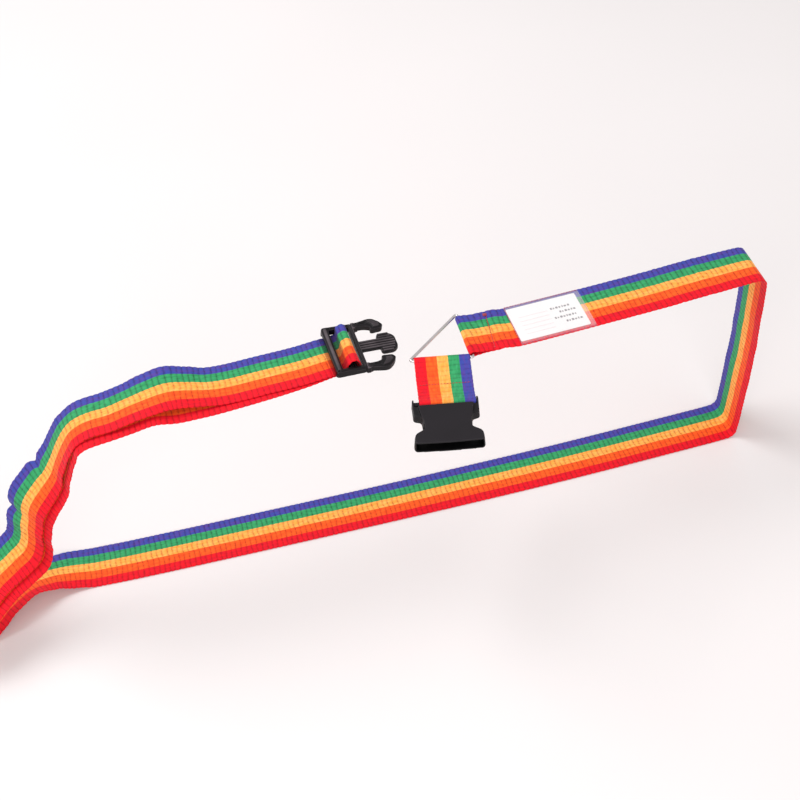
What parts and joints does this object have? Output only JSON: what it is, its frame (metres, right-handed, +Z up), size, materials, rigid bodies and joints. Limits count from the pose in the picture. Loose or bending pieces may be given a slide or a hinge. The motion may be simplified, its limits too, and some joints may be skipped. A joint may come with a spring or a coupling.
{
  "type": "luggage strap",
  "caption": "Striped webbing strap wrapped in a loop round a case, with an open side-release buckle, adjuster, wire ring and clear name-card pocket.",
  "frame": {"origin": "bottom centre of the whole part, on the surface that the floor run of the webbing lies on", "axes": "+X along the loop from the slack end to the pocket end, +Z up, +Y across the webbing from its red edge to its blue edge"},
  "size_m": [0.8471, 0.1878, 0.2474],
  "materials": {
    "striped_webbing": "ribbed weave in five lengthwise stripes, slight sheen",
    "short_striped_webbing": "ribbed weave in five lengthwise stripes, slight sheen",
    "sewing_thread": "twisted polyester thread",
    "clear_film": "soft clear vinyl",
    "name_card": null,
    "ring_wire": "polished bent wire",
    "socket_plastic": "fine-textured moulding",
    "male_plastic": "fine-textured moulding"
  },
  "bodies": {
    "strap": {"webbing_ring_fold": "striped_webbing", "webbing_top_run": "striped_webbing", "webbing_right_corner": "striped_webbing", "webbing_right_drop": "striped_webbing", "webbing_floor_corner": "striped_webbing", "webbing_floor_run": "striped_webbing", "webbing_floor_return": "striped_webbing", "webbing_slack_turn": "striped_webbing", "webbing_droop": "striped_webbing", "webbing_left_corner": "striped_webbing", "webbing_slide_strip": "striped_webbing", "tail_slide_strip": "striped_webbing", "tail_left_corner": "striped_webbing", "tail_droop": "striped_webbing", "tail_hem": "striped_webbing", "pocket_film": "clear_film", "pocket_thread": "sewing_thread", "ring_seam_thread": "sewing_thread", "ring_bar_tack": "sewing_thread", "hem_seam_thread": "sewing_thread"},
    "card": {"name_card": "name_card"},
    "ring": {"wire_ring": "ring_wire"},
    "short_strap": {"short_webbing": "short_striped_webbing", "short_seam_thread": "sewing_thread"},
    "socket": {"socket_half": "socket_plastic"},
    "male_half": {"male_frame": "male_plastic", "webbing_bar_loop": "striped_webbing"},
    "arm_far": {"male_arm_far": "male_plastic"},
    "arm_near": {"male_arm_near": "male_plastic"}
  },
  "joints": [
    {"name": "adjuster_slide", "type": "slide", "parent": "strap", "child": "male_half", "axis": [1, 0, 0], "range_m": [-0.06, 0], "deforming": ["webbing_slide_strip", "tail_slide_strip"]},
    {"name": "arm_far_flex", "type": "hinge", "parent": "male_half", "child": "arm_far", "pos_m": [0.03053, 0.07789, 0.235], "axis": [0.0872, -0.0011, 0.9962], "range_deg": [-7, 0], "stiffness_Nm_per_rad": 0.6},
    {"name": "arm_near_flex", "type": "hinge", "parent": "male_half", "child": "arm_near", "pos_m": [0.02988, 0.0249, 0.235], "axis": [0.0872, -0.0011, 0.9962], "range_deg": [0, 7], "stiffness_Nm_per_rad": 0.6},
    {"name": "ring_hinge", "type": "hinge", "parent": "strap", "child": "ring", "pos_m": [0.1235, 0.0349, 0.2336], "axis": [0.059, 0.9983, 0], "range_deg": [0, 75]},
    {"name": "short_strap_hinge", "type": "hinge", "parent": "ring", "child": "short_strap", "pos_m": [0.0939, 0.01465, 0.2336], "axis": [-0.9715, 0.2368, 0], "range_deg": [0, 75]},
    {"name": "socket_hinge", "type": "hinge", "parent": "short_strap", "child": "socket", "pos_m": [0.08064, -0.03976, 0.2359], "axis": [-0.9715, 0.2368, 0], "range_deg": [0, 60]},
    {"name": "card_slide", "type": "slide", "parent": "strap", "child": "card", "axis": [1, 0, 0], "range_m": [0, 0.075]}
  ]
}
